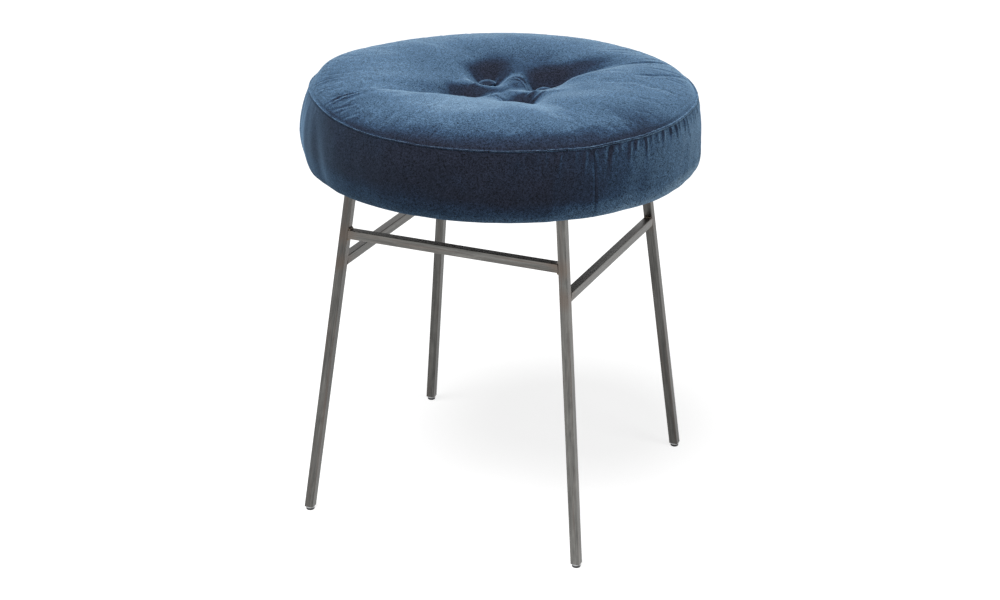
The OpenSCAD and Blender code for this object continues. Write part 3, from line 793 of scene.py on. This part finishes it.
class Settled:
    """The wrinkles that the top panel takes as cloth held at its seam and its buttons.

    A coarse copy of the panel is blown up a little as cloth, and the unevenness it gets is
    added to the fine one.
    """

    def __init__(self):
        self.half = math.ceil(PANEL_R / CLOTH_PITCH)
        side = 2 * self.half + 1
        self.uneven = np.zeros((side, side))
        steps = np.arange(-self.half, self.half + 1) * CLOTH_PITCH
        x, y = np.meshgrid(steps, steps, indexing="ij")
        rise = self.blow_up(x, y, top_height(x, y))
        uneven = KEPT_SHARE * (rise - self.smooth(rise))
        self.uneven = np.clip(uneven, -KEPT_MOST, KEPT_MOST)

    def blow_up(self, x, y, z):
        """Rise of every point of the grid after the cloth has settled."""
        side = len(x)
        reach = np.hypot(x, y)
        points = np.stack([x, y, z], -1).reshape(-1, 3)
        inside = reach < PANEL_R - LEFT_OUT_EDGE
        cells = inside[:-1, :-1] & inside[1:, :-1] & inside[1:, 1:] & inside[:-1, 1:]
        i, j = np.nonzero(cells)
        first = i * side + j
        faces = np.stack([first, first + side, first + side + 1, first + 1], 1)
        cloth = make_object("settling", points, faces.tolist())
        held = reach > PANEL_R - HELD_EDGE
        for spot in tuft_spots.values():
            held |= np.hypot(x - spot[0], y - spot[1]) < HELD_BUTTON_SHARE * BUTTON_R
        group = cloth.vertex_groups.new(name="held")
        group.add(np.nonzero(held.ravel())[0].tolist(), 1.0, "REPLACE")
        settings = cloth.modifiers.new("cloth", "CLOTH").settings
        for key, value in CLOTH_SETTINGS.items():
            setattr(settings, key, value)
        settings.effector_weights.gravity = 0
        scene = bpy.context.scene
        for number in range(1, CLOTH_FRAMES + 1):
            scene.frame_set(number)
        shape = cloth.evaluated_get(bpy.context.evaluated_depsgraph_get()).data
        found = np.empty(3 * len(points))
        shape.vertices.foreach_get("co", found)
        bpy.data.objects.remove(cloth)
        scene.frame_set(1)
        return found.reshape(side, side, 3)[:, :, 2] - z

    def smooth(self, rise):
        weights = bell(np.arange(-EVEN_SPAN, EVEN_SPAN + 1), EVEN_SPREAD)
        weights /= weights.sum()
        for axis in (0, 1):
            rise = np.apply_along_axis(np.convolve, axis, rise, weights, "same")
        return rise

    def __call__(self, x, y):
        """Unevenness at points between those of the grid."""
        u, v = x / CLOTH_PITCH + self.half, y / CLOTH_PITCH + self.half
        i = np.clip(np.floor(u).astype(int), 0, 2 * self.half - 1)
        j = np.clip(np.floor(v).astype(int), 0, 2 * self.half - 1)
        u, v = ease(u - i, 0, 1), ease(v - j, 0, 1)
        grid = self.uneven
        low = grid[i, j] * (1 - u) + grid[i + 1, j] * u
        high = grid[i, j + 1] * (1 - u) + grid[i + 1, j + 1] * u
        return low * (1 - v) + high * v


# The band and the seam

BAND_POWER = 2.2
TURN_POWER = 2.4
GATHER_PITCH = 10.5 * MM

# The groove of the join seam and the lip beside it
JOIN_GROOVE = 0.45 * MM
JOIN_GROOVE_W = 1.2 * MM
JOIN_LIP = 0.2 * MM
JOIN_LIP_W = 2.0 * MM
JOIN_LIP_ASIDE = 2.2 * MM

# The deep gather beside the join, with its ridge
DEEP_LEAN = 0.2
DEEP_GROOVE = 1.8 * MM
DEEP_GROOVE_W = 2.4 * MM
DEEP_GROOVE_L = 15 * MM
DEEP_RIDGE = 0.9 * MM
DEEP_RIDGE_W = 2.6 * MM
DEEP_RIDGE_L = 17 * MM
DEEP_RIDGE_ASIDE = 4.5 * MM

# The looseness of the band, how far it is drawn in under the seam, and its scalloped lower edge
LOOSE = 0.5 * MM
LOOSE_FROM = 15 * MM
TUCKED_IN = 0.4 * MM
TUCK_L = 2 * MM
SCALLOP = 0.8 * MM
SCALLOP_FROM = 55 * MM
SCALLOP_TO = 78 * MM

# Soft upright folds of the band: angle in degrees, height and width in mm
SOFT_FOLDS = [
    (-89.7, 0.8, 5),
    (-97, -0.5, 6),
    (-70, 0.4, 7),
    (-52, 0.5, 6),
    (-118, 0.5, 8),
    (30, 0.6, 7),
]
SOFT_FOLD_LEAN = 0.1
SOFT_FOLD_FROM = 4 * MM
SOFT_FOLD_TO = 18 * MM

# How the seam wanders, is drawn in and up at the left, and dips at the join
SEAM_WANDER_R = 0.3 * MM
SEAM_WANDER_Z = 0.4 * MM
DRAWN_IN = 4.5 * MM
DRAWN_UP = 6 * MM
JOIN_DIP = 1.6 * MM
JOIN_DIP_SPREAD = 0.085


class Gathers:
    """Short upright folds of the band just under the seam, deeper on the side that shows."""

    def __init__(self, seed):
        rng = np.random.default_rng(seed)
        count = round(2 * math.pi * SEAM_R / GATHER_PITCH)
        self.spots = (np.arange(count) + rng.uniform(-0.3, 0.3, count)) * 2 * math.pi / count
        gathered = turn(self.spots, GATHERED_ANGLE)
        smooth = turn(self.spots, SMOOTH_ANGLE)
        deeper = 0.6 + 1.5 * bell(gathered, 0.65) - 0.5 * bell(smooth, 0.75)
        self.depth = rng.uniform(0.4, 1.3, count) * MM * deeper
        self.length = rng.uniform(6, 16, count) * MM
        self.width = rng.uniform(1.4, 2.3, count) * MM * (1.4 - 0.5 * bell(gathered, 0.9))
        self.lean = rng.uniform(-0.25, 0.25, count)

    def __call__(self, angle, below):
        out = np.zeros(np.broadcast(angle, below).shape)
        folds = zip(self.spots, self.depth, self.length, self.width, self.lean)
        for spot, depth, length, width, lean in folds:
            aside = BELLY_R * turn(angle, spot) - lean * below
            out += depth * bell(aside, width) * bell(below - 0.2 * length, length)
        return out


gathers = Gathers(11)
band_waves = Waves(5, 50 * MM, 160 * MM)
scallop_waves = Waves(9, 14 * MM, 34 * MM)
seam_waves = Waves(21, 60 * MM, 300 * MM, 12)
fuzz_waves = Waves(33, 2.5 * MM, 14 * MM)


def band_bulge(angle, below):
    """How far the band stands out from its plain outline, by angle and distance below the seam."""
    x, y = BELLY_R * np.cos(angle), BELLY_R * np.sin(angle)
    loose = LOOSE * band_waves(2 * x, 2 * y + below) * ease(below, 0, LOOSE_FROM)
    for spot, height, width in SOFT_FOLDS:
        aside = BELLY_R * turn(angle, math.radians(spot)) + SOFT_FOLD_LEAN * below
        fading = ease(below, SOFT_FOLD_FROM, SOFT_FOLD_TO)
        loose = loose + height * MM * bell(aside, width * MM) * fading

    aside = BELLY_R * turn(angle, JOIN_ANGLE)
    join = JOIN_LIP * bell(aside - JOIN_LIP_ASIDE, JOIN_LIP_W)
    join = join - JOIN_GROOVE * bell(aside, JOIN_GROOVE_W)

    aside = BELLY_R * turn(angle, DEEP_FOLD_ANGLE) + DEEP_LEAN * below
    groove = DEEP_GROOVE * bell(aside, DEEP_GROOVE_W) * bell(below, DEEP_GROOVE_L)
    ridge = DEEP_RIDGE * bell(aside - DEEP_RIDGE_ASIDE, DEEP_RIDGE_W) * bell(below, DEEP_RIDGE_L)
    folds = gathers(angle, below) - groove + ridge - TUCKED_IN

    scallop = SCALLOP * scallop_waves(BELLY_R * angle, 0) * ease(below, SCALLOP_FROM, SCALLOP_TO)
    return loose + join + folds * ease(below, 0, TUCK_L) + scallop


def seam_line(angle):
    """Radius and height of the seam round the top, which wanders a little."""
    x, y = SEAM_R * np.cos(angle), SEAM_R * np.sin(angle)
    drawn = bell(turn(angle, DRAWN_ANGLE), DRAWN_SPREAD)
    dip = JOIN_DIP * bell(turn(angle, JOIN_ANGLE), JOIN_DIP_SPREAD)
    r = SEAM_R + SEAM_WANDER_R * seam_waves(x, y) - DRAWN_IN * drawn
    return r, SEAM_Z + SEAM_WANDER_Z * seam_waves(y, -x) + DRAWN_UP * drawn - dip


# The cushion's mesh

ANGLES = 680
INNER_ANGLES = 136
CROWDING = 0.32

# Where the rings of points start on the top, and up to where they stand how far apart
TOP_START = 2 * MM
TOP_STRETCHES = [
    (14 * MM, 2 * MM),
    (62 * MM, 1.45 * MM),
    (185 * MM, 3.0 * MM),
    (200 * MM, 1.9 * MM),
    (PANEL_R, 1.0 * MM),
]
BAND_LENGTH = BAND_TOP_Z - BELLY_Z
BAND_STRETCHES = [(18 * MM, 1.5 * MM), (BAND_LENGTH, 2.8 * MM)]
QUARTER = math.pi / 2
TURN_STRETCH = (QUARTER, math.pi / 32)
HEM_STRETCH = (HEM_R, 5.5 * MM)

# How the velvet tucks in under the seam: steps outwards and up
SEAM_TUCKS = [(-0.6 * MM, 0.2 * MM), (0.3 * MM, -0.9 * MM)]

# How far the cushion's lower edge sags all round, and how much more where it sags most
EDGE_SAG = 0.5 * MM
MORE_SAG = 2.0 * MM


def crowded_angles(count):
    """Angles of a ring's points, which stand closer where the band is gathered most."""
    even = 2 * np.pi * np.arange(count) / count
    return even - CROWDING * np.sin(even - CROWDED_ANGLE)


def spaced(start, *stretches):
    """Values from start through stretches of (end, step)."""
    values = [np.array([start])]
    for end, pitch in stretches:
        count = max(1, round(abs(end - start) / pitch))
        values.append(np.linspace(start, end, count + 1)[1:])
        start = end
    return np.concatenate(values)


def ring(angle, r, z):
    """Points round the middle at a radius and a height, each one number or one for each angle."""
    return np.stack([r * np.cos(angle), r * np.sin(angle), np.broadcast_to(z, angle.shape)], 1)


def top_rings(angle):
    """Rings of points from the middle of the top to the seam."""
    settled = Settled()
    seam_r, seam_z = seam_line(angle)
    rings = []
    for r in spaced(TOP_START, *TOP_STRETCHES):
        share = r / PANEL_R
        stretch = 1 + (seam_r - SEAM_R) / PANEL_R * share**4
        x = r * stretch * np.cos(angle) + TUFT_MIDDLE[0] * (1 - share)
        y = r * stretch * np.sin(angle) + TUFT_MIDDLE[1] * (1 - share)
        flat_x, flat_y = x / stretch, y / stretch
        z = top_height(flat_x, flat_y) + settled(flat_x, flat_y) + (seam_z - SEAM_Z) * share**4
        rings.append(np.stack([x, y, z], 1))
    return rings + [ring(angle, seam_r + aside, seam_z + lift) for aside, lift in SEAM_TUCKS]


def band_rings(angle):
    """Rings of the band from its top down, round the board's edge and in under it."""
    seam_r, seam_z = seam_line(angle)
    rings = []
    for below in spaced(0.0, *BAND_STRETCHES):
        share = 1 - below / BAND_LENGTH
        r = BELLY_R - (BELLY_R - SEAM_R - VELVET_T / 2) * share**BAND_POWER
        r = r + band_bulge(angle, below) + (seam_r - SEAM_R) * share**2
        z = BELLY_Z + BAND_LENGTH * share + (seam_z - SEAM_Z) * share**2
        rings.append(ring(angle, r, z))
    for turned in np.clip(spaced(0.0, TURN_STRETCH)[1:], 0, QUARTER):
        below = BAND_LENGTH + turned * (BELLY_R - FLAT_R)
        bulge = band_bulge(angle, below) * ease(QUARTER - turned, 0, 0.5)
        sag = (EDGE_SAG + MORE_SAG * np.cos(angle - SAG_ANGLE)) * math.sin(2 * turned)
        r = FLAT_R + (BELLY_R - FLAT_R + bulge) * math.cos(turned) ** (2 / TURN_POWER)
        z = BELLY_Z - (BELLY_Z - HEM_Z + 0.6 * bulge) * math.sin(turned) ** (2 / TURN_POWER)
        rings.append(ring(angle, r + sag * math.cos(turned), z - sag * math.sin(turned)))
    return rings + [ring(angle, r, HEM_Z) for r in spaced(FLAT_R, HEM_STRETCH)[1:]]


def lining_outline():
    """Radius and height along the cushion's inner side, which wraps the seat board."""
    under = BOARD_Z - 0.1 * MM
    over = BOARD_TOP_Z + SLACK
    middle = BOARD_R - BOARD_EDGE
    points = [(HEM_R, under), (middle, under)]
    for middle_z, start in ((BOARD_Z + BOARD_EDGE, -90), (BOARD_TOP_Z - BOARD_EDGE, 0)):
        for degrees in range(start + 15, start + 91, 25):
            a = math.radians(degrees)
            reach = BOARD_EDGE + SLACK
            points.append((middle + reach * math.cos(a), middle_z + reach * math.sin(a)))
    points.append((middle, over))
    return points + [(middle * share, over) for share in (0.8, 0.6, 0.4, 0.2)]


def quads(first, second, count):
    """Faces between two rings of the same number of points, by their first points."""
    i = np.arange(count)
    j = (i + 1) % count
    return np.stack([first + i, second + i, second + j, first + j], 1)


def make_object(name, points, faces, material=None, flat=False):
    mesh = bpy.data.meshes.new(name)
    mesh.from_pydata(np.asarray(points).tolist(), [], faces)
    mesh.validate()
    mesh.update()
    if not flat:
        mesh.shade_smooth()
    obj = bpy.data.objects.new(name, mesh)
    bpy.context.scene.collection.objects.link(obj)
    if material:
        mesh.materials.append(material)
    return obj


def make_cushion(material):
    angle = crowded_angles(ANGLES)
    rings = top_rings(angle) + band_rings(angle)
    middle_z = rings[0][:, 2].mean()
    points = [np.array([[TUFT_MIDDLE[0], TUFT_MIDDLE[1], middle_z]]), *rings]
    faces = [[0, 1 + i, 1 + (i + 1) % ANGLES] for i in range(ANGLES)]
    for k in range(len(rings) - 1):
        faces += quads(1 + k * ANGLES, 1 + (k + 1) * ANGLES, ANGLES).tolist()

    # The lining has fewer points, so its first ring is joined on by fans of triangles
    inner_angle = crowded_angles(INNER_ANGLES)
    outline = lining_outline()
    points += [ring(inner_angle, r, z) for r, z in outline]
    start = 1 + (len(rings) - 1) * ANGLES
    first = start + ANGLES
    ratio = ANGLES // INNER_ANGLES
    for j in range(INNER_ANGLES):
        here, following = first + j, first + (j + 1) % INNER_ANGLES
        for k in range(ratio):
            a = start + j * ratio + k
            b = start + (j * ratio + k + 1) % ANGLES
            faces.append([a, here, b])
        faces.append([b, here, following])
    for k in range(len(outline) - 1):
        inner = first + k * INNER_ANGLES
        faces += quads(inner, inner + INNER_ANGLES, INNER_ANGLES).tolist()
    last = first + (len(outline) - 1) * INNER_ANGLES
    points.append(np.array([[0, 0, outline[-1][1]]]))
    tip = last + INNER_ANGLES
    faces += [[last + i, tip, last + (i + 1) % INNER_ANGLES] for i in range(INNER_ANGLES)]
    return make_object("cushion", np.concatenate(points), faces, material)


STITCHES = 410
STITCH_POINTS = 4
SEAM_SIDES = 12
STITCH_PINCH = 0.12
SEAM_FUZZ = 0.12


def make_seam(material):
    """The raised edge where panel and band are sewn, pinched at every stitch."""
    count = STITCHES * STITCH_POINTS
    angle = 2 * np.pi * np.arange(count) / count
    r, z = seam_line(angle)
    pinch = 1 - STITCH_PINCH * np.cos(STITCHES * angle) ** 2
    shown = 0.52 + 0.4 * bell(turn(angle, FULL_SEAM_ANGLE), 0.9)
    points = []
    for side in range(SEAM_SIDES):
        a = 2 * math.pi * side / SEAM_SIDES
        fuzz = SEAM_FUZZ * fuzz_waves(SEAM_R * angle, 6 * WELT_R * math.sin(a))
        size = WELT_R * shown * (pinch + fuzz)
        points.append(ring(angle, r + size * math.cos(a), z + size * math.sin(a)))
    faces = []
    for side in range(SEAM_SIDES):
        next_side = (side + 1) % SEAM_SIDES
        faces += quads(side * count, next_side * count, count)[:, ::-1].tolist()
    return make_object("seam", np.concatenate(points), faces, material)


# The outline of a button. Behind the rim: radius, share of the height up to the rim
BUTTON_BACK = [(2.3 * MM, 0.0), (4.2 * MM, 0.3), (6.6 * MM, 0.62), (8.5 * MM, 0.88)]
BUTTON_ANGLES = 96
BUTTON_DOME = 3.4 * MM
RIM_WIDTH = 1.6 * MM
RIM_HEIGHT = 1.1 * MM
PLEAT_SHARE = 0.07
UNROUND_SHARE = 0.012


def button_outline(low_z, high_z):
    """Radius and height from the button's back, round its rim and over its dome."""
    rim_z = high_z - BUTTON_DOME
    outline = [(r, low_z + share * (rim_z - low_z)) for r, share in BUTTON_BACK]
    for degrees in range(-30, 91, 10):
        a = math.radians(degrees)
        rim_r = BUTTON_R - RIM_WIDTH * (1 - math.cos(a))
        outline.append((rim_r, rim_z + RIM_HEIGHT * math.sin(a)))
    rim_r, rim_top = outline[-1]
    for share in np.linspace(0.88, 0.08, 9):
        outline.append((rim_r * share, rim_top + (high_z - rim_top) * (1 - share**2)))
    return outline


def make_button(name, material):
    """A velvet-covered button: a low dome, a rounded rim and gathers drawn in behind it."""
    low, high = button_boxes[name]
    spot = (low + high) / 2
    rng = np.random.default_rng(40 + list(CORNERS).index(name))
    folds = rng.integers(11, 15)
    phase = rng.uniform(0, 6)
    angle = 2 * np.pi * np.arange(BUTTON_ANGLES) / BUTTON_ANGLES
    outline = button_outline(low[2], high[2])
    rim_z = high[2] - BUTTON_DOME
    unround = UNROUND_SHARE * np.sin(5 * angle + phase)
    points = []
    for r, z in outline:
        behind = np.clip((rim_z - z) / (rim_z - low[2]), 0, 1)
        pleat = PLEAT_SHARE * behind * np.sin(folds * angle + phase) + unround
        points.append(ring(angle, r * (1 + pleat), z))
    faces = []
    for k in range(len(outline) - 1):
        first = k * BUTTON_ANGLES
        faces += quads(first, first + BUTTON_ANGLES, BUTTON_ANGLES)[:, ::-1].tolist()
    total = len(outline) * BUTTON_ANGLES
    points.append(np.array([[0, 0, outline[0][1]], [0, 0, high[2]]]))
    faces += [[total, (i + 1) % BUTTON_ANGLES, i] for i in range(BUTTON_ANGLES)]
    top = total - BUTTON_ANGLES
    faces += [[total + 1, top + i, top + (i + 1) % BUTTON_ANGLES] for i in range(BUTTON_ANGLES)]
    points = np.concatenate(points)
    points[:, :2] += spot[:2]
    return make_object("velvet_button_" + name, points, faces, material)


velvet = velvet_material("velvet")
# The buttons' velvet is darker by 0.16 of shade: painted shade for the buttons in their hollows
shaded_button_velvet = velvet_material("shaded_button_velvet", 0.16)
cushion = make_cushion(velvet)
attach(cushion, "root")
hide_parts("cover_top", "cover_band", "wadding_top", "wadding_side", "foam_core")

seam = make_seam(velvet)
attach(seam, "root")
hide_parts("seam_welt")

for corner_name in CORNERS:
    button = make_button(corner_name, shaded_button_velvet)
    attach(button, "root")
    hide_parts("button_" + corner_name)

# Finishes of the CAD parts

UP, RIGHT, BACK = Vector((0, 0, 1)), Vector((1, 0, 0)), Vector((0, 1, 0))

# How far a leg leans outwards, along each of both directions, for its height
LEG_LEAN = 41.0 / 385.4

# Grey of each leg and bar. The three legs other than the front right one are darker: painted shade
# under the cushion. The left and right bars are darker than the front and back ones.
LEG_TONES_AND_SHADE = {"front_left": 0.099, "front_right": 0.132, "back_right": 0.08, "back_left": 0.083}
BAR_TONES = {"front": 0.13, "back": 0.13, "left": 0.1, "right": 0.11}
PLATE_TONE = 0.14


def give(material, *names):
    for name in names:
        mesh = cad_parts[name].data
        mesh.materials.clear()
        mesh.materials.append(material)


def each_corner(prefix):
    return [prefix + name for name in CORNERS]


bar_boxes = {side: box_of("stretcher_" + side) for side in BAR_TONES}
bar_heights = {side: float(low[2] + high[2]) / 2 for side, (low, high) in bar_boxes.items()}

for i, (name, corner) in enumerate(CORNERS.items()):
    axis = Vector((-corner[0] * LEG_LEAN, -corner[1] * LEG_LEAN, 1)).normalized()
    heights = [bar_heights[side] for side in name.split("_")]
    steel = steel_material("steel_leg_" + name, axis, LEG_TONES_AND_SHADE[name], 0.31 * i, UP, heights)
    give(steel, "leg_" + name)
for i, (side, (low, high)) in enumerate(bar_boxes.items()):
    way, k = (RIGHT, 0) if side in ("front", "back") else (BACK, 1)
    ends = [float(low[k]), float(high[k])]
    steel = steel_material("steel_bar_" + side, way, BAR_TONES[side], 1.7 + 0.6 * i, way, ends)
    give(steel, "stretcher_" + side)
give(steel_material("steel_plate", RIGHT, PLATE_TONE, 3.1, RIGHT), *each_corner("plate_"))
give(weld_material(), "stretcher_welds", "plate_welds")
zinc = zinc_material()
give(zinc, *each_corner("glide_"))
give(zinc, "plate_bolts", "bolt_washers", "threaded_inserts", "button_loops", "staples")
give(plastic_material(), *each_corner("pad_"), "cord_anchors")
give(plywood_material(), "seat_board")
give(twine_material(), "tufting_cords")
give(dust_cloth_material(), "dust_cover")

# Studio: a plain pale floor, a white room that lights the object faintly, two large soft lamps

FLOOR_SIZE = 12.0
FLOOR_GLOW = 0.8
FAR_GLOW = 0.95
ROOM_LIGHT = 0.13
SEAT = (0, 0, 0.42)

# Place, diameter and power in watts
LAMPS = {
    "lamp_right": ((2.2, -0.4, 0.95), 1.3, 16),
    "lamp_top": ((-0.1, -1.0, 2.75), 1.8, 101),
}


def make_floor():
    n = new_material("floor")
    place = n.coordinates()
    tone = n.ramp(n.noise(place, 3, 2, 0.5), (0.3, 0.4), (0.7, 0.43))
    cloth = n.add("ShaderNodeBsdfDiffuse", Color=tone)
    # The lamps light the floor less far out, so it glows more there
    reach = n.math("DIVIDE", n.length(place), FLOOR_SIZE / 2)
    level = n.ramp(reach, (0.08, FLOOR_GLOW), (0.5, FAR_GLOW))
    glow = n.add("ShaderNodeEmission", Strength=n.math("MULTIPLY", n.seen(), level))
    both = n.add("ShaderNodeAddShader")
    n.plug(both.inputs[0], cloth.outputs[0])
    n.plug(both.inputs[1], glow.outputs[0])
    n.add("ShaderNodeOutputMaterial", Surface=both.outputs[0])
    half = FLOOR_SIZE / 2
    corners = [(-half, -half, 0), (half, -half, 0), (half, half, 0), (-half, half, 0)]
    floor = make_object("floor", corners, [[0, 1, 2, 3]], n.owner, flat=True)


def make_lamp(name, place, size, power):
    data = bpy.data.lights.new(name, "AREA")
    data.shape = "DISK"
    data.size = size
    data.energy = power
    lamp = bpy.data.objects.new(name, data)
    bpy.context.scene.collection.objects.link(lamp)
    lamp.location = place
    lamp.rotation_euler = (Vector(SEAT) - Vector(place)).to_track_quat("-Z", "Y").to_euler()


def make_world():
    world = bpy.data.worlds.new("studio")
    bpy.context.scene.world = world
    n = Nodes(world)
    level = n.math("ADD", ROOM_LIGHT, n.math("MULTIPLY", n.seen(), 1.0 - ROOM_LIGHT))
    room = n.add("ShaderNodeBackground", Color=(1, 1, 1, 1), Strength=level)
    n.add("ShaderNodeOutputWorld", Surface=room.outputs[0])


make_floor()
for lamp_name, (place, size, power) in LAMPS.items():
    make_lamp(lamp_name, place, size, power)
make_world()

bpy.context.scene.view_settings.view_transform = "Standard"
